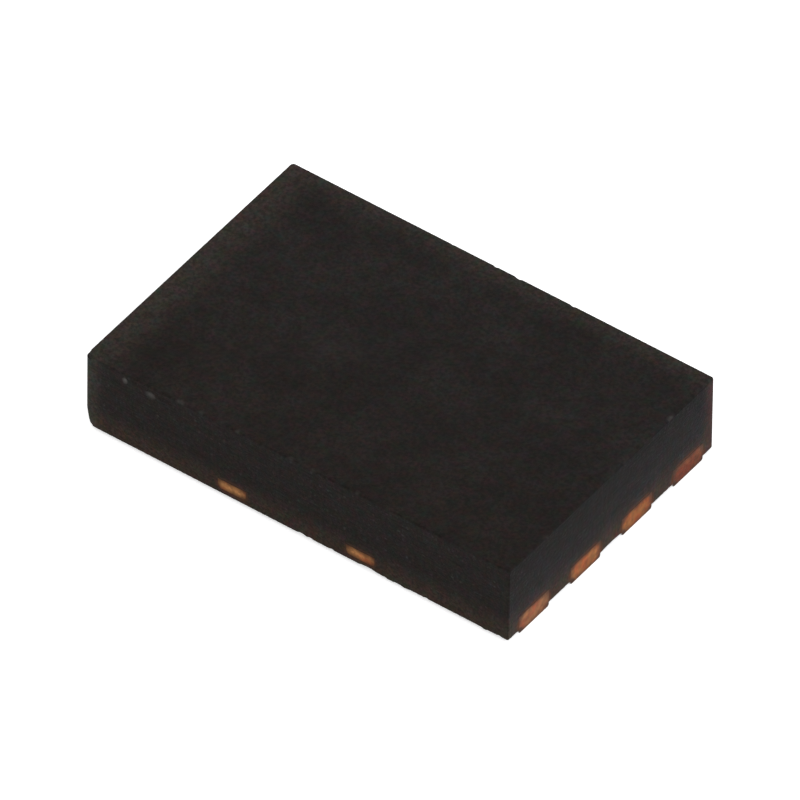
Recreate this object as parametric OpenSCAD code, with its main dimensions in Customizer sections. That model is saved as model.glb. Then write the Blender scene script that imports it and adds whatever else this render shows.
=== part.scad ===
// Amplifier chip in a sawn leadless package with two rows of four leads.
// Z = 0 is the seating plane under the leads and the pad. X runs from one row of
// leads to the other, Y runs along the rows, and the origin is the middle of the base.
// Lead 1 is at -X, +Y. The numbers run down the -X row and back up the +X row.

/* [Moulded body] */
// Length, from the sawn ends of one row of leads to those of the other
body_l = 3.0; // [2.8:0.05:3.6]
// Width, along a row of leads
body_w = 2.0; // [1.95:0.05:2.6]
// Height of the top face above the seating plane
body_h = 0.57; // [0.52:0.01:1]
// How far the leads and the pad stand out below the moulding compound
standoff = 0.02; // [0.01:0.01:0.03]

/* [Lead frame] */
// Thickness of the copper sheet
frame_t = 0.13; // [0.1:0.005:0.2]
// Depth etched away from below at ledges and tie bars
etch_d = 0.06; // [0.035:0.005:0.07]

/* [Leads] */
// Distance from one lead to the next in a row
lead_pitch = 0.5; // [0.42:0.01:0.54]
// Width of a lead at its sawn end
lead_w = 0.29; // [0.2:0.01:0.32]
// Radius to which etching has rounded the two long lower edges of a lead
lead_edge_r = 0.015; // [0.005:0.002:0.017]
// Length of the underside that is soldered
land_l = 0.4; // [0.3:0.01:0.5]
// Radius of the inner corners of the underside
land_r = 0.1; // [0.05:0.01:0.13]
// Length of the plain neck between the sawn end and the etched ledge
neck_l = 0.1; // [0.05:0.01:0.2]
// Reach of the etched ledge past each side of the underside
ledge_w = 0.03; // [0.01:0.005:0.04]
// Reach of the etched ledge past the inner end of the underside
ledge_l = 0.08; // [0.03:0.01:0.12]
// Radius of the inner corners of the ledge
ledge_r = 0.12; // [0.04:0.01:0.15]

/* [Die pad] */
// Etched slot between the ledge of a lead and the rim of the pad
slot_w = 0.18; // [0.13:0.01:0.25]
// Width of moulding compound between the rim of the pad and the long sides
margin_w = 0.23; // [0.15:0.01:0.35]
// Reach of the etched rim past the exposed underside of the pad
rim_w = 0.07; // [0.03:0.01:0.1]
// Corner radius of the exposed underside
pad_r = 0.06; // [0.02:0.01:0.15]
// Leg of the bevel on the exposed underside that marks lead 1
index_leg = 0.25; // [0.15:0.01:0.4]
// Distance between the two tie bars on a long side
tie_pitch = 0.91; // [0.6:0.01:1.1]
// Width of a tie bar
tie_w = 0.2; // [0.12:0.01:0.25]
// Radius to which etching has rounded the two long lower edges of a tie bar
tie_edge_r = 0.03; // [0.01:0.005:0.035]

/* [Die] */
// Length of the die, along X
die_l = 1.1; // [0.9:0.05:1.3]
// Width of the die, along Y
die_w = 0.9; // [0.8:0.05:1.2]
// Thickness of the die
die_t = 0.15; // [0.1:0.01:0.18]
// Thickness of the glass layer that covers the circuit
cover_t = 0.004; // [0.002:0.001:0.006]
// Width of the bare sawing lane round that layer
lane_w = 0.025; // [0.01:0.005:0.04]
// Side of the square window over a bond pad
window_w = 0.075; // [0.065:0.005:0.09]
// Distance from the die's edge to the middle of the windows
window_inset = 0.09; // [0.08:0.005:0.12]
// Distance from one window to the next in a row
window_pitch = 0.22; // [0.18:0.01:0.24]

/* [Die attach] */
// Thickness of the glue under the die
glue_t = 0.02; // [0.01:0.005:0.03]
// Reach of the glue's fillet past the die at its foot
glue_foot = 0.05; // [0.03:0.01:0.08]
// Reach of the glue's fillet past the die at its top
glue_lip = 0.006; // [0.004:0.001:0.01]
// Height to which the fillet climbs the sides of the die
glue_climb = 0.045; // [0.02:0.005:0.06]

/* [Bond wires] */
// Diameter of a wire
wire_d = 0.025; // [0.018:0.001:0.03]
// Height of the top of the loops above the die
loop_h = 0.1; // [0.07:0.01:0.12]
// Height of the upright neck of the wire above its ball
neck_h = 0.02; // [0.01:0.005:0.03]
// Gap between the bonded ball and the sides of its window
ball_gap = 0.008; // [0.004:0.001:0.012]
// Height of the bonded ball
ball_h = 0.018; // [0.012:0.002:0.024]
// Distance from the inner end of a lead's ledge to the end of the wire
stitch_inset = 0.15; // [0.1:0.01:0.2]
// Length of the flattened end of the wire
stitch_l = 0.05; // [0.03:0.01:0.08]
// Width of the flattened end of the wire
stitch_w = 0.05; // [0.03:0.005:0.07]
// Thickness of the flattened end of the wire
stitch_t = 0.006; // [0.004:0.001:0.012]

/* [Hidden] */
$fn = 48;
leads_per_row = 4;
lead_count = 2 * leads_per_row;
// Sides of a wire's cross-section, and steps along its bend and its fall
wire_sides = 8;
bend_steps = 4;
fall_steps = 7;
// Handles of a wire's curves, as shares of its bend, of its fall and of its landing
bend_pull = 0.6;
fall_pull = 0.4;
land_pull = 0.3;
// Share of the flattened end over which a wire is pressed down from round to flat
stitch_taper = 0.4;

etched_t = frame_t - etch_d;
rim_l_half = body_l / 2 - land_l - ledge_l - slot_w;
rim_w_half = body_w / 2 - margin_w;
pad_l = 2 * (rim_l_half - rim_w);
pad_w = 2 * (rim_w_half - rim_w);
die_base = frame_t + glue_t;
die_top = die_base + die_t;
circuit_z = die_top - cover_t;
ball_d = window_w - 2 * ball_gap;
stitch_x = body_l / 2 - land_l - ledge_l + stitch_inset;

// Side of the package on which lead n lies, and the place of lead n in its row,
// counted in pitches from the middle of the row
function side_of(n) = n <= leads_per_row ? -1 : 1;
function place_of(n) =
    (n <= leads_per_row ? leads_per_row - n : n - leads_per_row - 1) - (leads_per_row - 1) / 2;

// Flat outlines

// Bar from X = 0 to X = -length with rounded corners at its far end
module tongue(length, width, radius) {
    r = min(radius, 0.45 * width, 0.9 * length);
    translate([r - length, -width / 2])
        square([length - r, width]);
    translate([-length, r - width / 2])
        square([length, width - 2 * r]);
    for (side = [-1, 1])
        translate([r - length, side * (width / 2 - r)])
            circle(r);
}

// Rectangle with rounded corners, and one corner at -X, +Y cut off by a bevel
module pad_outline(length, width, radius, bevel) {
    difference() {
        union() {
            square([length - 2 * radius, width], center = true);
            square([length, width - 2 * radius], center = true);
            for (x = [-1, 1], y = [-1, 1])
                translate([x * (length / 2 - radius), y * (width / 2 - radius)])
                    circle(radius);
        }
        translate([-length / 2, width / 2])
            rotate([0, 0, 45])
                square([4 * bevel, sqrt(2) * bevel], center = true);
    }
}

// Places a child made for the +X side, with its sawn end at X = 0, as lead n
module at_lead(n) {
    translate([side_of(n) * body_l / 2, place_of(n) * lead_pitch, 0])
        rotate([0, 0, side_of(n) < 0 ? 180 : 0])
            children();
}

// Lead frame

// Upright cross-section of a strip with its two lower corners rounded. It is taller than
// the sheet, whose own thickness cuts the strip off at its upper face.
module strip_section(width, radius) {
    translate([-width / 2, radius])
        square([width, frame_t]);
    translate([radius - width / 2, 0])
        square([width - 2 * radius, frame_t]);
    for (side = [-1, 1])
        translate([side * (width / 2 - radius), radius])
            circle(radius);
}

module lead_metal(n) {
    at_lead(n) {
        intersection() {
            linear_extrude(frame_t)
                tongue(land_l, lead_w, land_r);
            translate([-land_l, 0, 0])
                rotate([90, 0, 90])
                    linear_extrude(land_l)
                        strip_section(lead_w, lead_edge_r);
        }
        translate([-neck_l, 0, etch_d])
            linear_extrude(etched_t)
                tongue(land_l + ledge_l - neck_l, lead_w + 2 * ledge_w, ledge_r);
    }
}

module pad_metal() {
    linear_extrude(frame_t)
        pad_outline(pad_l, pad_w, pad_r, index_leg);
    translate([0, 0, etch_d]) {
        linear_extrude(etched_t)
            pad_outline(
                2 * rim_l_half, 2 * rim_w_half, pad_r + rim_w, index_leg + rim_w * (2 - sqrt(2))
            );
        intersection() {
            linear_extrude(etched_t)
                square([2 * tie_pitch, body_w], center = true);
            for (side = [-1, 1])
                translate([side * tie_pitch / 2, 0, 0])
                    rotate([90, 0, 0])
                        linear_extrude(body_w, center = true)
                            strip_section(tie_w, tie_edge_r);
        }
    }
}

// Die and glue

module die_shape() {
    difference() {
        union() {
            translate([-die_l / 2, -die_w / 2, die_base])
                cube([die_l, die_w, die_t - cover_t]);
            translate([lane_w - die_l / 2, lane_w - die_w / 2, die_base])
                cube([die_l - 2 * lane_w, die_w - 2 * lane_w, die_t]);
        }
        for (n = [1 : lead_count])
            translate([window_x(n) - window_w / 2, window_y(n) - window_w / 2, circuit_z])
                cube([window_w, window_w, 2 * cover_t]);
    }
}

module glue() {
    rim = [[glue_foot, frame_t], [glue_lip, die_base + glue_climb]];
    difference() {
        polyhedron(
            points = [for (edge = rim, corner = [[-1, -1], [1, -1], [1, 1], [-1, 1]])
                [corner.x * (die_l / 2 + edge[0]), corner.y * (die_w / 2 + edge[0]), edge[1]]],
            faces = [[0, 1, 2, 3], [7, 6, 5, 4], [0, 4, 5, 1], [1, 5, 6, 2], [2, 6, 7, 3], [3, 7, 4, 0]]
        );
        translate([-die_l / 2, -die_w / 2, die_base])
            cube([die_l, die_w, die_t]);
    }
}

// Bond wires. Each is worked out in the upright plane of its wire, where X is the
// distance from the middle of the ball and Z is the height.

function window_x(n) = side_of(n) * (die_l / 2 - window_inset);
function window_y(n) = place_of(n) * window_pitch;
function reach_x(n) = side_of(n) * stitch_x - window_x(n);
function reach_y(n) = place_of(n) * lead_pitch - window_y(n);

function mix(a, b, t) = a + (b - a) * t;
function bezier(a, b, c, d, t) =
    mix(mix(mix(a, b, t), mix(b, c, t), t), mix(mix(b, c, t), mix(c, d, t), t), t);
function curve(a, b, c, d, steps) = [for (i = [1 : steps]) bezier(a, b, c, d, i / steps)];

// Middle line of a wire that reaches this far: up out of the ball, over, and down
// to the spot where it is pressed flat
function route(reach) =
    let (
        foot = [0, circuit_z + ball_h / 2],
        neck = [0, circuit_z + ball_h + neck_h],
        top = die_top + loop_h,
        crown = [top - neck.y, top],
        land = [reach - stitch_l, frame_t + wire_d / 2],
        fall = land.x - crown.x,
        bend_handles = [[0, mix(neck.y, top, bend_pull)], [(1 - bend_pull) * crown.x, top]],
        fall_handles = [crown + [fall_pull * fall, 0], land + land_pull * [-fall, top - land.y]]
    )
    concat(
        [foot, neck],
        curve(neck, bend_handles[0], bend_handles[1], crown, bend_steps),
        curve(crown, fall_handles[0], fall_handles[1], land, fall_steps)
    );

// Slope of a route at one of its points, in degrees
function slope(points, i) =
    i == 0 ? 90
    : let (step = points[min(i + 1, len(points) - 1)] - points[i - 1]) atan2(step.y, step.x);

// A ring is [distance, height, half width, half thickness, slope]
function rings(reach) =
    let (points = route(reach))
    concat(
        [for (i = [0 : len(points) - 1])
            [points[i].x, points[i].y, wire_d / 2, wire_d / 2, slope(points, i)]],
        [for (x = [reach - (1 - stitch_taper) * stitch_l, reach])
            [x, frame_t + stitch_t / 2, stitch_w / 2, stitch_t / 2, 0]]
    );

// Corners of a ring, whose flat sides lie at the half width and the half thickness
function corners(ring) = [
    for (k = [0 : wire_sides - 1])
        let (
            turn = (k + 0.5) * 360 / wire_sides,
            across = ring[2] * cos(turn) / cos(180 / wire_sides),
            up = ring[3] * sin(turn) / cos(180 / wire_sides)
        )
        [ring[0] - up * sin(ring[4]), across, ring[1] + up * cos(ring[4])]
];

// Closed skin over a list of rings
module sweep(ring_list) {
    last = len(ring_list) - 1;
    polyhedron(
        points = [for (ring = ring_list) each corners(ring)],
        faces = concat(
            [[for (k = [0 : wire_sides - 1]) k]],
            [[for (k = [wire_sides - 1 : -1 : 0]) last * wire_sides + k]],
            [for (i = [0 : last - 1], k = [0 : wire_sides - 1])
                let (a = i * wire_sides + k, b = i * wire_sides + (k + 1) % wire_sides)
                each [[b, a, a + wire_sides], [b, a + wire_sides, b + wire_sides]]]
        ),
        convexity = 4
    );
}

module wire_gold(n) {
    translate([window_x(n), window_y(n), 0])
        rotate([0, 0, atan2(reach_y(n), reach_x(n))]) {
            sweep(rings(norm([reach_x(n), reach_y(n)])));
            translate([0, 0, circuit_z])
                rotate_extrude()
                    ball_outline();
        }
}

// Half section of the bonded ball: a disc with a round edge
module ball_outline() {
    square([(ball_d - ball_h) / 2, ball_h]);
    intersection() {
        translate([(ball_d - ball_h) / 2, ball_h / 2])
            circle(ball_h / 2);
        square([ball_d, ball_h]);
    }
}

// Moulding compound, which fills the block round everything that is cast into it
module compound() {
    difference() {
        translate([-body_l / 2, -body_w / 2, standoff])
            cube([body_l, body_w, body_h - standoff]);
        pad_metal();
        glue();
        die_shape();
        for (n = [1 : lead_count]) {
            lead_metal(n);
            wire_gold(n);
        }
    }
}

// Sub-parts

module mould_body() { color([0.16, 0.15, 0.15]) compound(); }
module die_pad() { color([0.72, 0.42, 0.26]) pad_metal(); }
module lead(n) { color([0.72, 0.42, 0.26]) lead_metal(n); }
module die_attach() { color([0.75, 0.75, 0.72]) glue(); }
module die() { color([0.35, 0.37, 0.42]) die_shape(); }
module wire(n) { color([0.9, 0.7, 0.3]) wire_gold(n); }

mould_body();
die_pad();
lead(1);  // lead_1
lead(2);  // lead_2
lead(3);  // lead_3
lead(4);  // lead_4
lead(5);  // lead_5
lead(6);  // lead_6
lead(7);  // lead_7
lead(8);  // lead_8
die_attach();
die();
wire(1);  // wire_1
wire(2);  // wire_2
wire(3);  // wire_3
wire(4);  // wire_4
wire(5);  // wire_5
wire(6);  // wire_6
wire(7);  // wire_7
wire(8);  // wire_8
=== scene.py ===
import math

import bmesh
import bpy
import numpy as np
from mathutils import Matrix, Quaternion, Vector


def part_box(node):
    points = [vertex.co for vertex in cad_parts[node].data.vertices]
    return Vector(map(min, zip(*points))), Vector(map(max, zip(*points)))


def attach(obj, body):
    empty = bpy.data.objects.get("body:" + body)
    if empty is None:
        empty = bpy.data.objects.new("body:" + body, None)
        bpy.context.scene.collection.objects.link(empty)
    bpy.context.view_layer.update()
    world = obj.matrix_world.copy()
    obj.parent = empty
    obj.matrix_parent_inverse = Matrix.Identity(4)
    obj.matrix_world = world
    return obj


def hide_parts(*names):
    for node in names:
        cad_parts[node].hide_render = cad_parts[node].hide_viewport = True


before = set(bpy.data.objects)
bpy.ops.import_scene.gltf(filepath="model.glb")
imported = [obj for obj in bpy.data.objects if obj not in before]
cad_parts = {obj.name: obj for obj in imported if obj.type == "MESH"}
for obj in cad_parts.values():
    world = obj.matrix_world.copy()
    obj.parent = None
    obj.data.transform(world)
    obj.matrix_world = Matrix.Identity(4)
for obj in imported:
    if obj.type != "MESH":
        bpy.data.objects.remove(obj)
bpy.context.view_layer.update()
scene = bpy.context.scene
scene.view_settings.view_transform = "Standard"

# One millimetre in metres. Lengths are in millimetres unless MM multiplies them.
MM = 0.001
LEADS = ["lead_%d" % n for n in range(1, 9)]
WIRES = ["wire_%d" % n for n in range(1, 9)]
CAST_IN = LEADS + ["die_pad", "die_attach", "die"] + WIRES


# --- Camera, light and floor ---------------------------------------------------------

# The photograph's camera, far away with a long lens. The azimuth counts from -Y towards
# +X, and the target is the point in the middle of the picture.
AZIMUTH = math.radians(35.632)
ELEVATION = math.radians(43.781)
ROLL = math.radians(0.8)
DISTANCE = 178.414 * MM
TARGET_RIGHT = 0.0018 * MM
TARGET_UP = 0.2151 * MM
FOCAL_LENGTH = 1400
SENSOR_WIDTH = 36
CLIP_START = 0.001
CLIP_END = 10


def make_camera():
    forward = Vector((
        -math.sin(AZIMUTH) * math.cos(ELEVATION),
        math.cos(AZIMUTH) * math.cos(ELEVATION),
        -math.sin(ELEVATION),
    ))
    right = Vector((math.cos(AZIMUTH), math.sin(AZIMUTH), 0))
    up = right.cross(forward)
    data = bpy.data.cameras.new("camera")
    data.lens = FOCAL_LENGTH
    data.sensor_width = SENSOR_WIDTH
    data.clip_start = CLIP_START
    data.clip_end = CLIP_END
    camera = bpy.data.objects.new("camera", data)
    camera.rotation_mode = "QUATERNION"
    camera.rotation_quaternion = forward.to_track_quat("-Z", "Y") @ Quaternion((0, 0, 1), ROLL)
    camera.location = right * TARGET_RIGHT + up * TARGET_UP - forward * DISTANCE
    scene.collection.objects.link(camera)
    scene.camera = camera


LAMP_AWAY = 0.1


def sun(name, azimuth, elevation, strength, colour, spread):
    """A soft lamp; its azimuth counts from +X towards +Y."""
    data = bpy.data.lights.new(name, "SUN")
    data.energy = strength
    data.color = colour
    data.angle = math.radians(spread)
    lamp = bpy.data.objects.new(name, data)
    a, e = math.radians(azimuth), math.radians(elevation)
    towards = Vector((math.cos(a) * math.cos(e), math.sin(a) * math.cos(e), math.sin(e)))
    lamp.rotation_mode = "QUATERNION"
    lamp.rotation_quaternion = towards.to_track_quat("Z", "Y")
    lamp.location = towards * LAMP_AWAY
    scene.collection.objects.link(lamp)


class Graph:
    """A node tree with short calls for the nodes that the materials are made of."""

    def __init__(self, tree):
        self.tree = tree
        tree.nodes.clear()

    def node(self, kind, settings=None, **inputs):
        made = self.tree.nodes.new("ShaderNode" + kind)
        for key, value in (settings or {}).items():
            setattr(made, key, value)
        for key, value in inputs.items():
            self.feed(made.inputs[key.replace("_", " ")], value)
        return made

    def feed(self, socket, value):
        """Link a socket to another one, or set its value."""
        if isinstance(value, bpy.types.NodeSocket):
            self.tree.links.new(value, socket)
        else:
            socket.default_value = value

    def math(self, operation, *values):
        made = self.node("Math", {"operation": operation})
        for socket, value in zip(made.inputs, values):
            self.feed(socket, value)
        return made.outputs[0]

    def vector(self, operation, *values):
        made = self.node("VectorMath", {"operation": operation})
        for socket, value in zip(made.inputs, values):
            self.feed(socket, value)
        return made.outputs[0]

    def scale(self, colour, factor):
        made = self.node("VectorMath", {"operation": "SCALE"})
        self.feed(made.inputs[0], colour)
        self.feed(made.inputs[3], factor)
        return made.outputs[0]

    def product(self, *values):
        total = values[0]
        for value in values[1:]:
            total = self.math("MULTIPLY", total, value)
        return total

    def ramp(self, value, low, high, to_low=0.0, to_high=1.0):
        """Smooth step from to_low at low to to_high at high."""
        made = self.node(
            "MapRange", {"interpolation_type": "SMOOTHSTEP"}, Value=value,
            **{"From Min": low, "From Max": high, "To Min": to_low, "To Max": to_high},
        )
        return made.outputs[0]

    def blend(self, amount, a, b, mode="MIX"):
        """Mix of two colours, each a socket or a tuple of red, green and blue."""
        made = self.node("Mix", {"data_type": "RGBA", "blend_type": mode})
        self.feed(made.inputs[0], amount)
        for socket, value in ((made.inputs[6], a), (made.inputs[7], b)):
            self.feed(socket, (*value, 1) if isinstance(value, tuple) else value)
        return made.outputs[2]

    def place(self):
        """Position on the part, in millimetres, as a vector and as its X, Y and Z."""
        coordinates = self.node("TexCoord").outputs["Object"]
        millimetres = self.vector("MULTIPLY", coordinates, (1 / MM, 1 / MM, 1 / MM))
        split = self.node("SeparateXYZ", Vector=millimetres)
        return millimetres, split.outputs[0], split.outputs[1], split.outputs[2]

    def facing(self):
        """X, Y and Z of the direction that the surface faces."""
        split = self.node("SeparateXYZ", Vector=self.node("TexCoord").outputs["Normal"])
        return split.outputs[0], split.outputs[1], split.outputs[2]

    def noise(self, where, scale, detail=2.0, rough=0.5, stretch=None, output=0):
        """Noise with its scale in waves per millimetre; output 0 is a number, 1 a colour."""
        if stretch:
            where = self.vector("MULTIPLY", where, stretch)
        made = self.node("TexNoise", Vector=where, Scale=scale, Detail=detail, Roughness=rough)
        return made.outputs[output]

    def grains(self, where, scale, shift):
        """Random value and distance to the middle for each round grain."""
        where = self.vector("ADD", where, (shift, shift, shift))
        made = self.node("TexVoronoi", Vector=where, Scale=scale)
        value = self.node("SeparateColor", Color=made.outputs["Color"]).outputs[0]
        return value, made.outputs["Distance"]

    def drag(self, sideways, upright, rounding):
        """Strength of a film that fades out round a copper end with rounded corners.

        It comes from the gaps between a point and the end's outline, sideways and
        upright, which are below 0 inside the outline.
        """
        squares = []
        for gap in (sideways, upright):
            beyond = self.math("MAXIMUM", self.math("ADD", gap, rounding), 0.0)
            squares.append(self.product(beyond, beyond))
        far = self.math("SUBTRACT", self.math("SQRT", self.math("ADD", *squares)), rounding)
        return self.ramp(far, FILM_REACH, 0.0)

    def bump(self, height, distance):
        return self.node("Bump", Height=height, Distance=distance * MM, Strength=1.0).outputs[0]


def seen(graph):
    """Whether the camera sees a surface straight, and whether it sees it in a mirror or glass."""
    path = graph.node("LightPath").outputs
    mirrored = graph.math("MAXIMUM", path["Is Glossy Ray"], path["Is Transmission Ray"])
    return path["Is Camera Ray"], mirrored


AMBIENT = 0.80
BACKGROUND = 1.0
WHITE = (1, 1, 1, 1)


def make_world():
    world = bpy.data.worlds.new("studio")
    world.use_nodes = True
    scene.world = world
    graph = Graph(world.node_tree)
    plain = graph.node("Background", Color=WHITE, Strength=AMBIENT)
    white = graph.node("Background", Color=WHITE, Strength=BACKGROUND)
    mixed = graph.node("MixShader", Fac=graph.math("MAXIMUM", *seen(graph)))
    graph.tree.links.new(plain.outputs[0], mixed.inputs[1])
    graph.tree.links.new(white.outputs[0], mixed.inputs[2])
    out = graph.node("OutputWorld")
    graph.tree.links.new(mixed.outputs[0], out.inputs[0])


# Half side of the floor in metres, its gap below the part, its colour, and how much
# brighter the camera sees it, straight and mirrored
FLOOR_HALF = 0.5
FLOOR_GAP = 0.0002 * MM
FLOOR_COLOUR = (0.9, 0.9, 0.9, 1)
FLOOR_LIFT = 0.58
FLOOR_MIRRORED_LIFT = 0.10


def make_floor():
    mesh = bpy.data.meshes.new("floor")
    s = FLOOR_HALF
    mesh.from_pydata([(-s, -s, 0), (s, -s, 0), (s, s, 0), (-s, s, 0)], [], [(0, 1, 2, 3)])
    floor = bpy.data.objects.new("floor", mesh)
    floor.location.z = -FLOOR_GAP
    scene.collection.objects.link(floor)
    material = bpy.data.materials.new("floor")
    material.use_nodes = True
    graph = Graph(material.node_tree)
    plain = graph.node("BsdfDiffuse", Color=FLOOR_COLOUR)
    straight, mirrored = seen(graph)
    strength = graph.math(
        "ADD", graph.product(straight, FLOOR_LIFT), graph.product(mirrored, FLOOR_MIRRORED_LIFT))
    lift = graph.node("Emission", Color=WHITE, Strength=strength)
    both = graph.node("AddShader")
    graph.tree.links.new(plain.outputs[0], both.inputs[0])
    graph.tree.links.new(lift.outputs[0], both.inputs[1])
    out = graph.node("OutputMaterial")
    graph.tree.links.new(both.outputs[0], out.inputs[0])
    mesh.materials.append(material)


# --- Skin of the moulded body --------------------------------------------------------

# How far the skin lies inside the CAD block, so that its waves stay in it, and the
# spacing of the stations round it
RECESS = 0.0002
STATION = 0.006
# Roundings of the upper, lower and upright edges, how much the first two vary, and the
# least and the most that the lower one comes to where the saw has torn it
TOP_ROUND = 0.010
TOP_VARIES = 0.12
BASE_ROUND = 0.011
BASE_VARIES = 0.15
BASE_LEAST = 0.001
BASE_MOST = 0.028
CORNER_ROUNDS = {(-1, -1): 0.024, (1, -1): 0.012, (1, 1): 0.021, (-1, 1): 0.022}
CORNER_TURNS = np.radians([15, 30, 45, 60, 75])
EDGE_TURNS = np.radians([0, 22.5, 45, 67.5, 90])
# Rings of the skin: insets on the base, heights up the sides, depths below the top where
# the pits need finer rings, and insets on the top
BASE_INSETS = (0.046, 0.032)
SIDE_HEIGHTS = (0.06, 0.15, 0.30, 0.42, 0.47)
SIDE_DEPTHS = (
    0.086, 0.080, 0.075, 0.070, 0.065, 0.060, 0.055,
    0.050, 0.045, 0.040, 0.035, 0.028, 0.021, 0.015,
)
TOP_INSETS = (0.031, 0.035, 0.045, 0.060)
# Height of the waves that the saw leaves in the sides, and how near the side a ring has
# to be to have them
SAW_WAVE = 0.0002
SAW_REACH = 0.003
# Points of a cast-in solid that are nearer to each other than this are joined
WELD = 1e-5
# Edges that turn by more than this stay sharp
SHARP = math.radians(32)
# Pits that the saw has torn in the sides just below the upper edge: side, place along
# it, depth below the top, half length, half height, and how pale the torn face is.
# Sides are -Y, +X, +Y and -X.
PITS = [
    ("-Y", -1.220, 0.053, 0.017, 0.022, 0.72),
    ("-Y", -1.038, 0.064, 0.034, 0.023, 0.46),
]
PIT_DEPTH = 0.006
# Painted shade beside the pits, as if in hollows there, given as the pits are.
SHADE_BESIDE_PITS = [
    ("-Y", -1.285, 0.092, 0.042, 0.014, -0.30),
    ("-Y", -1.150, 0.030, 0.048, 0.014, -0.35),
    ("-Y", -0.940, 0.050, 0.055, 0.020, -0.35),
]
# Chips on the upper edges: side, place along it, reach into the edge, half length
# and how pale the broken face is.
CHIPS = [
    ("-Y", -0.829, 0.0045, 0.034, 0.24),
    ("-Y", -0.685, 0.0040, 0.022, 0.15),
    ("-Y", -0.425, 0.0035, 0.018, 0.18),
    ("-Y", -0.048, 0.0035, 0.024, 0.15),
    ("-Y", 0.112, 0.0030, 0.018, 0.12),
    ("-Y", 0.423, 0.0035, 0.018, 0.14),
    ("+X", 0.575, 0.0080, 0.024, 0.40),
    ("+Y", -0.355, 0.0050, 0.012, 0.05),
    ("+Y", -0.048, 0.0060, 0.024, 0.05),
    ("+Y", 0.114, 0.0072, 0.036, 0.05),
    ("+Y", 0.500, 0.0065, 0.028, 0.05),
]
# How far the paleness of a chip reaches down from the upper edge, and how far that of
# any torn face reaches into the block
CHIP_FACE = 0.013
PALE_DEPTH = PIT_DEPTH * 3
# Strength of the paleness in the middle of a torn face, and its fall towards the edge
PALE_MIDDLE = 1.3
PALE_FALL = 1.05
# Places where the saw has torn more (or, with a minus, less) off the lower edge than
# the usual rounding: side, place along it, half length and change of the rounding.
TEARS = [
    ("-Y", 0.035, 0.032, 0.012),
    ("-Y", 0.098, 0.024, 0.009),
    ("-Y", 0.252, 0.016, 0.008),
    ("-Y", 0.508, 0.065, 0.013),
    ("-Y", 0.666, 0.038, -0.009),
    ("-Y", 0.772, 0.038, -0.009),
    ("-Y", 0.918, 0.018, 0.006),
    ("-Y", 1.334, 0.026, -0.009),
    ("-Y", 1.438, 0.016, 0.008),
    ("+X", 0.000, 0.100, 0.008),
]
# One corner is worn rounder: where it is, how far the wear reaches, what it adds to the
# lower and the upper rounding, and how deep and how high it goes at the upright edge's foot.
WORN_CORNER = (-1, -1)
WEAR_REACH = 0.055
WEAR_BASE = 0.002
WEAR_TOP = 0.018
WEAR_FOOT = 0.022
WEAR_RISE = 0.15
# Random small chips on all sides, and tears on the two sides that the photograph doesn't
# show: how many on a side, how far from its middle they may be, and the ranges of their
# numbers, in the order of the lists above.
SMALL_CHIPS = 12
SMALL_TEARS = 7
SPREAD = {"-Y": 1.45, "+Y": 1.45, "-X": 0.95, "+X": 0.95}
CHIP_RANGES = ((0.0015, 0.0035), (0.014, 0.035), (0, 0.06))
TEAR_RANGES = ((0.015, 0.05), (-0.009, 0.012))

rng = np.random.default_rng(19)
for side in ("-Y", "+Y", "-X", "+X"):
    for place in rng.uniform(-SPREAD[side], SPREAD[side], SMALL_CHIPS):
        CHIPS.append((side, place, *(rng.uniform(*ends) for ends in CHIP_RANGES)))
for side in ("+Y", "-X"):
    for place in rng.uniform(-SPREAD[side], SPREAD[side], SMALL_TEARS):
        TEARS.append((side, place, *(rng.uniform(*ends) for ends in TEAR_RANGES)))

# A wandering curve is the sum of so many sines, each with between the least and the most
# waves round the block, divided to come out at about -1 to 1.
SINES = 12
LEAST_WAVES = 100
MOST_WAVES = 300
SINES_SUM = 4


def wander(count):
    """Smooth closed random curve with values about -1 to 1."""
    turns = np.linspace(0, 2 * np.pi, count, endpoint=False)
    total = np.zeros(count)
    for wave in rng.integers(LEAST_WAVES, MOST_WAVES, SINES):
        total += np.sin(wave * turns + rng.uniform(0, 2 * np.pi)) * rng.uniform(0.3, 1)
    return total / SINES_SUM


def outline(half_x, half_y):
    """Stations round the block: position, outward direction and side."""
    stations = []
    corners = ((-1, -1), (1, -1), (1, 1), (-1, 1), (-1, -1))
    for start, end, side in zip(corners, corners[1:], ("-Y", "+X", "+Y", "-X")):
        r0, r1 = CORNER_ROUNDS[start], CORNER_ROUNDS[end]
        a = np.array((start[0] * half_x, start[1] * half_y))
        b = np.array((end[0] * half_x, end[1] * half_y))
        along = (b - a) / np.linalg.norm(b - a)
        out = np.array((along[1], -along[0]))
        a, b = a + along * r0, b - along * r1
        for t in np.linspace(0, 1, int(np.linalg.norm(b - a) / STATION) + 1):
            stations.append((a + (b - a) * t, out, side))
        centre = b - out * r1
        for turn in CORNER_TURNS:
            way = out * math.cos(turn) + along * math.sin(turn)
            stations.append((centre + way * r1, way, "corner"))
    return stations


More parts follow.
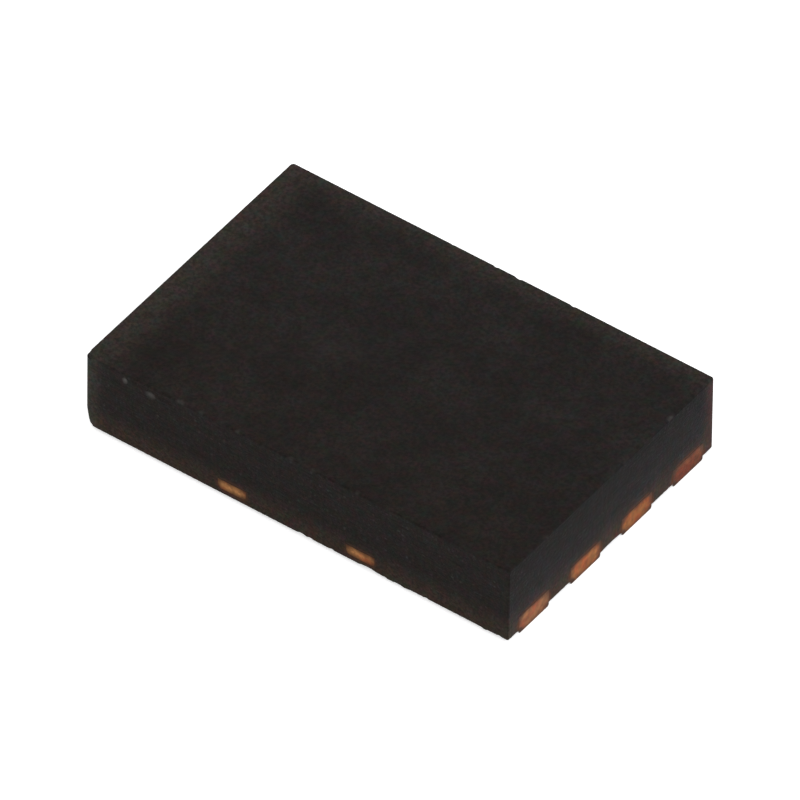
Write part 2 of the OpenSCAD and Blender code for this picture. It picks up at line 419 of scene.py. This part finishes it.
def skin_mesh():
    """The block's outer faces as a closed mesh in millimetres."""
    low, high = (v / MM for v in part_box("mould_body"))
    half_x, half_y = high.x - RECESS, high.y - RECESS
    stations = outline(half_x, half_y)
    count = len(stations)
    at = np.array([s[0] for s in stations])
    out = np.array([s[1] for s in stations])
    side = np.array([s[2] for s in stations])

    def along(where, spot, half):
        """Distance of the stations of one side from a spot, where 1 is its half length."""
        far = np.abs(at[:, 0 if where[1] == "Y" else 1] - spot) / half
        return np.where(side == where, far, np.inf)

    def bulge(far):
        """A smooth hump: 1 in the middle and 0 from a distance of 1 on."""
        return np.clip(1 - far ** 2, 0, 1)

    cut = np.zeros(count)
    for where, spot, reach, half, _ in CHIPS:
        cut = np.maximum(cut, 2 * reach * bulge(along(where, spot, half)))

    corner = np.array(WORN_CORNER) * (half_x, half_y)
    wear = bulge(np.linalg.norm(at - corner, axis=1) / WEAR_REACH)
    top_round = TOP_ROUND * (1 + TOP_VARIES * wander(count)) + WEAR_TOP * wear
    base_round = BASE_ROUND * (1 + BASE_VARIES * wander(count)) + WEAR_BASE * wear
    for where, spot, half, change in TEARS:
        base_round += change * bulge(along(where, spot, half))
    base_round = np.clip(base_round, BASE_LEAST, BASE_MOST)

    # Rings from the middle of the base to the middle of the top. Each is the distance
    # in from the sawn side, and the height.
    rings = []
    for inset in BASE_INSETS:
        rings.append((np.full(count, inset), np.full(count, low.z)))
    for turn in EDGE_TURNS:
        r = base_round
        rings.append((r * (1 - math.sin(turn)), low.z + r * (1 - math.cos(turn))))
    for z in SIDE_HEIGHTS:
        rings.append((np.zeros(count), np.full(count, z)))
    for depth in SIDE_DEPTHS:
        rings.append((np.zeros(count), np.full(count, high.z - depth)))
    for turn in EDGE_TURNS:
        r = top_round
        rings.append((r * (1 - math.cos(turn)), high.z - r * (1 - math.sin(turn))))
    for inset in TOP_INSETS:
        rings.append((np.full(count, inset), np.full(count, high.z)))

    sawn = SAW_WAVE * wander(count)
    points = []
    for inset, z in rings:
        drop = high.z - z
        short = np.clip(cut - (inset + drop), 0, None) / 2
        wave = np.where(inset < SAW_REACH, sawn - SAW_WAVE, 0)
        foot = WEAR_FOOT * wear * np.clip(1 - (z - low.z) / WEAR_RISE, 0, 1) ** 2
        pit = np.zeros(count)
        for where, spot, depth, half, half_z, _ in PITS:
            far = np.hypot(along(where, spot, half), (drop - depth) / half_z)
            pit = np.maximum(pit, PIT_DEPTH * bulge(far))
        pulled = at * (1 - inset[:, None] / (half_x, half_y))
        pulled = pulled - out * (short + pit + foot - wave)[:, None]
        points.append(np.column_stack([pulled, z - short]))
    points = np.concatenate(points)
    faces = []
    for r in range(len(rings) - 1):
        for i in range(count):
            j = (i + 1) % count
            faces.append((r * count + i, r * count + j, (r + 1) * count + j, (r + 1) * count + i))
    faces.append(tuple(reversed(range(count))))
    last = (len(rings) - 1) * count
    faces.append(tuple(last + i for i in range(count)))
    mesh = bpy.data.meshes.new("mould_skin")
    mesh.from_pydata([tuple(p) for p in points], [], faces)
    mesh.update()
    return mesh


def solid_copy(name):
    """A CAD node as a closed mesh in millimetres."""
    made = bmesh.new()
    made.from_mesh(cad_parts[name].data)
    bmesh.ops.scale(made, vec=(1 / MM, 1 / MM, 1 / MM), verts=made.verts)
    bmesh.ops.remove_doubles(made, verts=made.verts, dist=WELD)
    mesh = bpy.data.meshes.new("cutter_" + name)
    made.to_mesh(mesh)
    made.free()
    return bpy.data.objects.new("cutter_" + name, mesh)


def paleness(points):
    """How pale each point is on the torn faces of pits and chips; below 0, beside the pits, it is
    darker with painted shade.
    """
    low, high = (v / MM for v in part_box("mould_body"))
    faces = {"-Y": low.y, "+Y": high.y, "-X": low.x, "+X": high.x}
    pale = np.zeros(len(points))
    torn = [(side, spot, 0, half, CHIP_FACE, light) for side, spot, _, half, light in CHIPS]
    for side, spot, depth, half, half_z, light in SHADE_BESIDE_PITS + torn + PITS:
        if side[1] == "Y":
            middle = (spot, faces[side], high.z - depth)
            size = (half, PALE_DEPTH, half_z)
        else:
            middle = (faces[side], spot, high.z - depth)
            size = (PALE_DEPTH, half, half_z)
        far = np.linalg.norm((points - middle) / size, axis=1)
        amount = light * np.clip(PALE_MIDDLE - PALE_FALL * far, 0, 1)
        pale = np.where(np.abs(amount) > np.abs(pale), amount, pale)
    return pale


def make_mould():
    """The block in its finer skin, with a hollow for each piece that is cast in."""
    block = bpy.data.objects.new("mould_skin", skin_mesh())
    scene.collection.objects.link(block)
    cutters = []
    for name in CAST_IN:
        cutter = solid_copy(name)
        scene.collection.objects.link(cutter)
        cutters.append(cutter)
        cut = block.modifiers.new(name, "BOOLEAN")
        cut.operation = "DIFFERENCE"
        cut.solver = "MANIFOLD"
        cut.object = cutter
    bpy.context.view_layer.update()
    graph = bpy.context.evaluated_depsgraph_get()
    mesh = bpy.data.meshes.new_from_object(block.evaluated_get(graph))
    block.modifiers.clear()
    for cutter in cutters:
        bpy.data.objects.remove(cutter)
    mesh.name = "mould_skin"
    points = np.empty(len(mesh.vertices) * 3)
    mesh.vertices.foreach_get("co", points)
    points = points.reshape(-1, 3)
    mesh.attributes.new("pale", "FLOAT", "POINT").data.foreach_set("value", paleness(points))
    mesh.vertices.foreach_set("co", (points * MM).ravel())
    mesh.update()
    mesh.shade_smooth()
    mesh.set_sharp_from_angle(angle=SHARP)
    block.data = mesh
    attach(block, "root")
    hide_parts("mould_body")
    return block


# --- Materials -----------------------------------------------------------------------

# Half length and half width of the block
HALF_LENGTH = 1.5
HALF_WIDTH = 1.0
# Moulding compound as moulded, what it is multiplied by where it is browner, and the Y
# from which it gets browner and where it is brownest
MOULDED_DARK = (0.0126, 0.0102, 0.0093)
MOULDED_LIGHT = (0.0168, 0.0139, 0.0127)
BROWNER = (0.91, 0.86, 0.81)
BROWNING = (0.2, -1.0)
# Moulding compound as sawn, on the long and the short sides, and its cut filler grains.
# The short sides get paler lower down between two heights, by a factor from the first to the
# second: painted light from the floor.
SAWN_LONG = (0.0156, 0.0126, 0.0114)
SAWN_SHORT = (0.0139, 0.0122, 0.0122)
SAWN_GRAIN = (0.034, 0.032, 0.031)
SHORT_FLOOR_LIGHT = (0.56, 0.06, 0.74, 1.50)
# Paler brown over the foot of the sawn sides, partly metal smeared there and partly painted
# light from the floor, and the heights where it starts, going down, and where it is strongest
FOOT_LIGHT_AND_SMEAR_LONG = (0.039, 0.0265, 0.0195)
FOOT_LIGHT_AND_SMEAR_SHORT = (0.054, 0.0350, 0.0270)
FOOT_LIGHT_AND_SMEAR_HEIGHTS = (0.25, 0.04)
# Painted light, paler bands of glare: on the top, down the left end of the long side, and
# down the back end of the short side, with how far each reaches in from the left or the back
TOP_EDGE_GLOW = (0.0305, 0.0245, 0.0200)
LEFT_EDGE_GLOW = (0.046, 0.040, 0.033)
BACK_EDGE_GLOW = (0.058, 0.028, 0.024)
TOP_LEFT_GLOW_REACH = 0.32
TOP_BACK_GLOW_REACH = 0.20
LEFT_GLOW_REACH = 0.15
BACK_GLOW_REACH = 0.13
# Torn faces of the pits and chips where they are palest
TORN = (0.125, 0.12, 0.112)
# Waves per millimetre of the noise in the compound: broad changes of tone, clouds, fine
# mottling, tinted patches and the texture of the surface
BROAD = 2.2
CLOUD = 11.0
FINE = 48.0
PATCH = 14.0
TEXTURE = 160.0
# Strength of the red-green and of the blue-yellow tint of the patches
RED_TINT = 1.5
BLUE_TINT = 1.2
# Cut filler grains of two sizes: how many per millimetre, and where in the noise they
# are taken from. Saw marks are noise that is drawn out level.
COARSE_GRAINS = 34.0
COARSE_SHIFT = 3.1
SMALL_GRAINS = 80.0
SMALL_SHIFT = 7.7
SAW_MARKS = (5.0, 5.0, 95.0)
# Film of copper on the compound, how far it reaches past a sawn end, and the waves per
# millimetre of its wear
COPPER_FILM = (0.115, 0.043, 0.022)
FILM_REACH = 0.032
FILM_WEAR = 30.0
# Bare copper on the sawn ends, and its tarnish
BARE = {
    "lead_5": (0.400, 0.146, 0.060),
    "lead_6": (0.440, 0.154, 0.045),
    "lead_7": (0.425, 0.140, 0.034),
    "lead_8": (0.240, 0.060, 0.019),
    "die_pad": (0.460, 0.184, 0.067),
}
HIDDEN_BARE = BARE["lead_6"]
TARNISH = (0.075, 0.034, 0.018)
# What the bare copper is multiplied by where it is redder and where it is yellower
REDDER = (1.05, 0.80, 0.78)
YELLOWER = (0.98, 1.14, 1.12)
# Waves per millimetre of the copper's noise: changes of hue, blotches and fine grain,
# and its saw lines, drawn out level
HUE = 11.0
BLOTCH = 24.0
COPPER_GRAIN = 90.0
SAW_LINES = (9.0, 9.0, 150.0)
# Darkest and palest tone of the other finishes
TIN = ((0.50, 0.50, 0.49), (0.62, 0.62, 0.60))
SILVER = ((0.78, 0.76, 0.72), (0.86, 0.85, 0.82))
GLUE = ((0.36, 0.35, 0.33), (0.62, 0.61, 0.58))
SILICON = ((0.09, 0.095, 0.11), (0.16, 0.165, 0.18))
GOLD = ((0.86, 0.60, 0.22), (0.95, 0.70, 0.30))
BOND_PAD = (0.75, 0.74, 0.72)
# Silver flakes in the glue, its lumps and the gold's drawing marks, per millimetre
FLAKES = 90.0
FLAKE_SHIFT = 1.3
LUMPS = 50.0
DRAWN = 60.0
# The circuit on the die: two tones of its cells, the tracks between them, the larger
# blocks that darken them, and the saw lines on its sides
CIRCUIT = {"Color1": (0.10, 0.13, 0.11, 1), "Color2": (0.20, 0.19, 0.15, 1)}
TRACKS = {"Mortar": (0.42, 0.38, 0.28, 1), "Mortar Size": 0.06}
CELLS = {"Scale": 16.0, "Brick Width": 0.9, "Row Height": 0.35}
BLOCKS = 5.0
BLOCKS_STRENGTH = 0.35
DIE_SAW_LINES = (6.0, 6.0, 120.0)
# Height of the bumps in each material
MOULD_BUMP = 0.0035
COPPER_BUMP = 0.0012
GLUE_BUMP = 0.003
SILICON_BUMP = 0.001
GOLD_BUMP = 0.0006
# Thickness of the copper sheet, half width and pitch of the leads, and the middle, half
# width and base of a tie bar's end
SHEET = 0.13
LEAD_HALF = 0.145
LEAD_PITCH = 0.5
TIE_MIDDLE = 0.455
TIE_HALF = 0.1
TIE_BASE = 0.06
# Width of the tarnished border inside a copper end's outline, and the roundings of its
# corners on leads and tie bars
BORDER = 0.040
LEAD_CORNER = 0.065
TIE_CORNER = 0.048
# Width and height of the dark corner of a lead's end
DARK_CORNER = (0.045, 0.045)
# Where one finish gives way to another, each as the places where the second one starts
# and is whole: sawn ends on the short and the long sides, tin under the block, silver on
# top of the sheet, and bare bond pads in the windows of the die's glass layer, which lie
# beyond a distance from its middle
ENDS_SHORT = (1.4985, 1.4995)
ENDS_LONG = (0.9985, 0.9995)
TINNED = (0.021, 0.0195)
SILVERED = (0.1285, 0.1295)
IN_WINDOW = (0.2985, 0.2965)
WINDOWS = 0.42
# Steps between the places in the noise from which two pieces of copper take their grain
SEED_STEP = 3.7


def principled(name, **constants):
    material = bpy.data.materials.new(name)
    material.use_nodes = True
    graph = Graph(material.node_tree)
    shader = graph.node("BsdfPrincipled", **constants)
    out = graph.node("OutputMaterial")
    graph.tree.links.new(shader.outputs[0], out.inputs[0])
    return material, graph, shader


def moulded_colour(graph, where, y):
    """Moulded faces: nearly black, with broad changes of tone, and browner towards -Y."""
    broad = graph.ramp(graph.noise(where, BROAD, 3.0), 0.3, 0.7)
    colour = graph.blend(broad, MOULDED_DARK, MOULDED_LIGHT)
    browner = graph.vector("MULTIPLY", colour, BROWNER)
    return graph.blend(graph.ramp(y, *BROWNING), colour, browner)


def cut_grains(graph, where):
    """How strongly cut filler grains show in a sawn face: a few coarse ones, more small."""
    value, far = graph.grains(where, COARSE_GRAINS, COARSE_SHIFT)
    coarse = graph.product(graph.ramp(value, 0.72, 0.95), graph.ramp(far, 0.42, 0.25))
    value, far = graph.grains(where, SMALL_GRAINS, SMALL_SHIFT)
    small = graph.product(graph.ramp(value, 0.6, 0.95), graph.ramp(far, 0.45, 0.25))
    return graph.math("MAXIMUM", coarse, graph.product(small, 0.7))


def sawn_colour(graph, z, grains, marks, on_short, flat):
    """Sawn sides, with cut grains and level saw marks.

    The short sides get paler lower down: painted light from the floor.
    """
    short_face = graph.blend(graph.product(grains, 0.45), SAWN_SHORT, SAWN_GRAIN)
    # Paler lower down on the short sides: painted light from the floor
    short_face = graph.scale(short_face, graph.ramp(z, *SHORT_FLOOR_LIGHT))
    long_face = graph.blend(graph.product(grains, 0.35), SAWN_LONG, SAWN_GRAIN)
    sawn = graph.blend(on_short, long_face, short_face)
    streaks = graph.ramp(marks, 0.3, 0.7, -0.12, 0.14)
    return graph.scale(sawn, graph.math("MULTIPLY_ADD", flat, streaks, 1.0))


def add_edge_glow(graph, colour, x, y, top, on_short, on_long):
    """Painted light: paler bands of glare along two upper edges and down two upright edges."""
    from_left = graph.math("ADD", x, HALF_LENGTH)
    from_back = graph.math("SUBTRACT", HALF_WIDTH, y)
    # Painted light: the colour gets paler near the left and back edges, as glare
    glow_x = graph.ramp(from_left, TOP_LEFT_GLOW_REACH, 0.0)
    glow_y = graph.product(graph.ramp(from_back, TOP_BACK_GLOW_REACH, 0.0), 0.75)
    glow = graph.product(graph.math("MAXIMUM", glow_x, glow_y), top)
    colour = graph.blend(glow, colour, TOP_EDGE_GLOW)
    glow = graph.product(graph.ramp(from_left, LEFT_GLOW_REACH, 0.0), on_long, 0.8)
    colour = graph.blend(glow, colour, LEFT_EDGE_GLOW)
    glow = graph.product(graph.ramp(from_back, BACK_GLOW_REACH, 0.0), on_short, 0.8)
    return graph.blend(glow, colour, BACK_EDGE_GLOW)


def patch_tint(graph, where):
    """Factors for red, green and blue: patches a little red or green, blue or yellow."""
    patch = graph.noise(where, PATCH, 3.0, 0.7, output=1)
    patch = graph.node("SeparateColor", Color=patch).outputs
    red, blue = (graph.math("SUBTRACT", patch[n], 0.5) for n in (0, 2))
    return graph.node(
        "CombineXYZ",
        X=graph.math("MULTIPLY_ADD", red, RED_TINT, 1.0),
        Y=graph.math("MULTIPLY_ADD", red, -RED_TINT / 2, 1.0),
        Z=graph.math("MULTIPLY_ADD", blue, BLUE_TINT, 1.0),
    ).outputs[0]


def copper_film(graph, where, x, y, z, on_short, on_long):
    """Strength of the film of copper that the saw has dragged past the sawn ends."""
    from_gap = graph.math("PINGPONG", y, LEAD_PITCH / 2)
    lead_gap = graph.math("SUBTRACT", LEAD_PITCH / 2 - LEAD_HALF, from_gap)
    from_tie = graph.math("SUBTRACT", graph.math("ABSOLUTE", x), TIE_MIDDLE)
    tie_gap = graph.math("SUBTRACT", graph.math("ABSOLUTE", from_tie), TIE_HALF)
    over = graph.math("SUBTRACT", z, SHEET)
    under = graph.math("SUBTRACT", TIE_BASE, z)
    by_lead = graph.drag(lead_gap, over, LEAD_CORNER)
    by_tie = graph.drag(tie_gap, graph.math("MAXIMUM", over, under), TIE_CORNER)
    film = graph.math("ADD", graph.product(by_lead, on_short), graph.product(by_tie, on_long, 0.5))
    worn = graph.noise(where, FILM_WEAR, 2.0, 0.6)
    return graph.product(film, graph.ramp(worn, 0.3, 0.6, 0.5, 1.0))


def mould_material():
    """Black moulding compound: mottled where moulded, with cut grains where sawn."""
    material, graph, shader = principled(
        "mould_compound", **{"IOR": 1.5, "Specular IOR Level": 0.06})
    where, x, y, z = graph.place()
    nx, ny, nz = graph.facing()
    from_x, from_y = graph.math("ABSOLUTE", nx), graph.math("ABSOLUTE", ny)
    top = graph.ramp(nz, 0.5, 0.9)
    on_short = graph.ramp(from_x, 0.6, 0.9)
    on_long = graph.ramp(from_y, 0.6, 0.9)
    side = graph.math("MAXIMUM", on_short, on_long)
    flat = graph.ramp(graph.math("MAXIMUM", from_x, from_y), 0.93, 0.99)

    cloud = graph.noise(where, CLOUD, 2.0, 0.5)
    fine = graph.noise(where, FINE, 2.0, 0.6)
    marks = graph.noise(where, 1.0, 3.0, 0.6, stretch=SAW_MARKS)
    grains = cut_grains(graph, where)
    sawn = sawn_colour(graph, z, grains, marks, on_short, flat)
    colour = graph.blend(side, moulded_colour(graph, where, y), sawn)

    # Paler brown along the foot of the sides: partly lead-frame metal that the saw smears there,
    # partly painted light from the floor
    ragged = graph.product(graph.math("SUBTRACT", fine, 0.5), 0.04)
    foot = graph.ramp(graph.math("ADD", z, ragged), *FOOT_LIGHT_AND_SMEAR_HEIGHTS)
    foot_light_and_smear = graph.blend(on_short, FOOT_LIGHT_AND_SMEAR_LONG, FOOT_LIGHT_AND_SMEAR_SHORT)
    colour = graph.blend(graph.product(foot, side, 0.9), colour, foot_light_and_smear)

    # Painted glare along the edges, tint, clouds and fine mottling over all faces, and the copper
    # film over them
    colour = add_edge_glow(graph, colour, x, y, top, on_short, on_long)
    colour = graph.vector("MULTIPLY", colour, patch_tint(graph, where))
    colour = graph.scale(colour, graph.ramp(cloud, 0.3, 0.7, 0.90, 1.10))
    colour = graph.scale(colour, graph.ramp(fine, 0.28, 0.72, 0.60, 1.42))
    film = copper_film(graph, where, x, y, z, on_short, on_long)
    colour = graph.blend(film, colour, COPPER_FILM)

    # Torn faces of the pits and chips, and the painted shade beside the pits
    pale = graph.node("Attribute", {"attribute_name": "pale", "attribute_type": "GEOMETRY"})
    pale = pale.outputs["Fac"]
    # Below 0 the attribute darkens the colour: painted shade beside the pits
    colour = graph.scale(colour, graph.math("ADD", 1.0, graph.math("MINIMUM", pale, 0.0)))
    colour = graph.blend(graph.math("MAXIMUM", pale, 0.0), colour, TORN)
    graph.feed(shader.inputs["Base Color"], colour)

    rough = graph.ramp(fine, 0.3, 0.7, 0.52, 0.72)
    rough = graph.math("ADD", rough, graph.product(side, grains, -0.12))
    graph.feed(shader.inputs["Roughness"], rough)

    texture = graph.noise(where, TEXTURE, 2.0)
    height = graph.math("ADD", fine, graph.product(marks, flat, 0.6))
    height = graph.math("ADD", height, graph.product(texture, 0.4))
    graph.feed(shader.inputs["Normal"], graph.bump(height, MOULD_BUMP))
    return material


def end_face(graph, x, y, z, centre):
    """Place on the sawn end of a lead, or of a tie bar where there is no centre.

    Gives the distance across from the end's middle, and the distance in from its
    outline, whose corners are rounded.
    """
    if centre is None:
        side = graph.math("SIGN", x)
        across = graph.math("SUBTRACT", x, graph.product(side, TIE_MIDDLE))
        half, base, rounding = TIE_HALF, TIE_BASE, TIE_CORNER
    else:
        across = graph.math("SUBTRACT", y, centre)
        half, base, rounding = LEAD_HALF, 0.0, LEAD_CORNER
    from_side = graph.math("SUBTRACT", half, graph.math("ABSOLUTE", across))
    from_base, from_top = graph.math("SUBTRACT", z, base), graph.math("SUBTRACT", SHEET, z)
    squares = []
    for gap in (from_side, graph.math("MINIMUM", from_base, from_top)):
        lacking = graph.math("MAXIMUM", graph.math("SUBTRACT", rounding, gap), 0.0)
        squares.append(graph.product(lacking, lacking))
    inside = graph.math("SUBTRACT", rounding, graph.math("SQRT", graph.math("ADD", *squares)))
    return across, inside


def lead_material(name, bare, centre, seed):
    """Copper: bare and sawn at the end, tinned below the block, silvered on top inside."""
    material, graph, shader = principled(name, Metallic=1.0)
    where, x, y, z = graph.place()
    across, inside = end_face(graph, x, y, z, centre)
    where = graph.vector("ADD", where, (seed, seed, seed))
    hue = graph.noise(where, HUE, 2.0, 0.5)
    blotch = graph.noise(where, BLOTCH, 3.0, 0.6)
    fine = graph.noise(where, COPPER_GRAIN, 3.0, 0.6)
    lines = graph.noise(where, 1.0, 3.0, 0.65, stretch=SAW_LINES)
    red = tuple(c * k for c, k in zip(bare, REDDER))
    yellow = tuple(c * k for c, k in zip(bare, YELLOWER))
    copper = graph.blend(graph.ramp(hue, 0.4, 0.6), red, yellow)
    copper = graph.scale(copper, graph.ramp(z, 0.02, 0.12, 0.84, 1.06))
    copper = graph.scale(copper, graph.ramp(blotch, 0.32, 0.68, 0.74, 1.24))
    copper = graph.scale(copper, graph.ramp(lines, 0.35, 0.75, 0.92, 1.08))
    copper = graph.scale(copper, graph.ramp(fine, 0.3, 0.7, 0.86, 1.14))

    # Smeared and tarnished borders, and a darker lower left corner on a lead's end
    uneven = graph.math("SUBTRACT", blotch, 0.5)
    border = graph.math("ADD", inside, graph.product(uneven, 0.015))
    border = graph.ramp(border, BORDER, -0.014)
    copper = graph.blend(graph.product(border, 0.92), copper, TARNISH)
    if centre is not None:
        corner_x = graph.product(graph.math("ADD", across, LEAD_HALF), 1 / DARK_CORNER[0])
        corner_z = graph.product(z, 1 / DARK_CORNER[1])
        squares = graph.product(corner_x, corner_x), graph.product(corner_z, corner_z)
        far = graph.math("ADD", graph.math("ADD", *squares), graph.product(uneven, 0.8))
        copper = graph.blend(graph.ramp(far, 1.2, 0.4, 0.0, 0.85), copper, TARNISH)

    tone = graph.ramp(blotch, 0.3, 0.7)
    end = graph.math(
        "MAXIMUM",
        graph.ramp(graph.math("ABSOLUTE", x), *ENDS_SHORT),
        graph.ramp(graph.math("ABSOLUTE", y), *ENDS_LONG),
    )
    not_end = graph.math("SUBTRACT", 1.0, end)
    below = graph.product(graph.ramp(z, *TINNED), not_end)
    above = graph.product(graph.ramp(z, *SILVERED), not_end)
    colour = graph.blend(below, copper, graph.blend(tone, *TIN))
    colour = graph.blend(above, colour, graph.blend(tone, *SILVER))
    graph.feed(shader.inputs["Base Color"], colour)
    graph.feed(shader.inputs["Roughness"], graph.ramp(fine, 0.25, 0.75, 0.36, 0.55))
    height = graph.math("ADD", graph.product(lines, end), graph.product(fine, 0.5))
    graph.feed(shader.inputs["Normal"], graph.bump(height, COPPER_BUMP))
    return material


def glue_material():
    """Silver flakes in a matt glue."""
    material, graph, shader = principled("silver_glue", Metallic=0.0)
    where = graph.place()[0]
    flake, _ = graph.grains(where, FLAKES, FLAKE_SHIFT)
    lumps = graph.noise(where, LUMPS, 3.0)
    colour = graph.blend(graph.ramp(flake, 0.2, 0.8), *GLUE)
    graph.feed(shader.inputs["Base Color"], colour)
    graph.feed(shader.inputs["Roughness"], graph.ramp(flake, 0.0, 1.0, 0.35, 0.7))
    graph.feed(shader.inputs["Normal"], graph.bump(lumps, GLUE_BUMP))
    return material


def die_material():
    """Silicon: sawn sides, a polished circuit on top and bare bond pads in their windows."""
    material, graph, shader = principled("silicon", Metallic=0.0)
    where, x, _, z = graph.place()
    top = graph.ramp(graph.facing()[2], 0.5, 0.9)
    tracks = graph.node(
        "TexBrick", {"offset": 0.5, "squash": 1.0}, Vector=where, **CIRCUIT, **TRACKS, **CELLS)
    blocks = graph.node("TexVoronoi", {"distance": "CHEBYCHEV"}, Vector=where, Scale=BLOCKS)
    circuit = graph.blend(
        BLOCKS_STRENGTH, tracks.outputs["Color"], blocks.outputs["Color"], "MULTIPLY")
    window = graph.math("GREATER_THAN", graph.math("ABSOLUTE", x), WINDOWS)
    pads = graph.product(window, graph.ramp(z, *IN_WINDOW), top)
    cut = graph.noise(where, 1.0, 3.0, 0.6, stretch=DIE_SAW_LINES)
    body = graph.blend(graph.ramp(cut, 0.3, 0.7), *SILICON)
    colour = graph.blend(top, body, circuit)
    colour = graph.blend(pads, colour, BOND_PAD)
    graph.feed(shader.inputs["Base Color"], colour)
    graph.feed(shader.inputs["Roughness"], graph.ramp(top, 0.0, 1.0, 0.45, 0.16))
    sawn = graph.product(cut, graph.math("SUBTRACT", 1.0, top))
    graph.feed(shader.inputs["Normal"], graph.bump(sawn, SILICON_BUMP))
    return material


def gold_material():
    """Drawn gold wire."""
    material, graph, shader = principled("gold", Metallic=1.0)
    where = graph.place()[0]
    drawn = graph.noise(where, DRAWN, 3.0)
    graph.feed(shader.inputs["Base Color"], graph.blend(graph.ramp(drawn, 0.3, 0.7), *GOLD))
    graph.feed(shader.inputs["Roughness"], graph.ramp(drawn, 0.3, 0.7, 0.18, 0.30))
    graph.feed(shader.inputs["Normal"], graph.bump(drawn, GOLD_BUMP))
    return material


def dress(name, material):
    """Give a CAD node its material."""
    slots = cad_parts[name].material_slots
    if not slots:
        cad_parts[name].data.materials.append(material)
    for slot in slots:
        slot.material = material


make_camera()
make_world()
make_floor()
sun("soft_side", azimuth=8, elevation=32, strength=1.0, colour=(0.95, 0.975, 1.0), spread=70)

mould = make_mould()
mould.data.materials.clear()
mould.data.materials.append(mould_material())

for number, name in enumerate(LEADS + ["die_pad"]):
    low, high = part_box(name)
    centre = None if name == "die_pad" else (low.y + high.y) / 2 / MM
    bare = BARE.get(name, HIDDEN_BARE)
    dress(name, lead_material("copper_" + name, bare, centre, SEED_STEP * number))
dress("die_attach", glue_material())
dress("die", die_material())
gold = gold_material()
for name in WIRES:
    dress(name, gold)
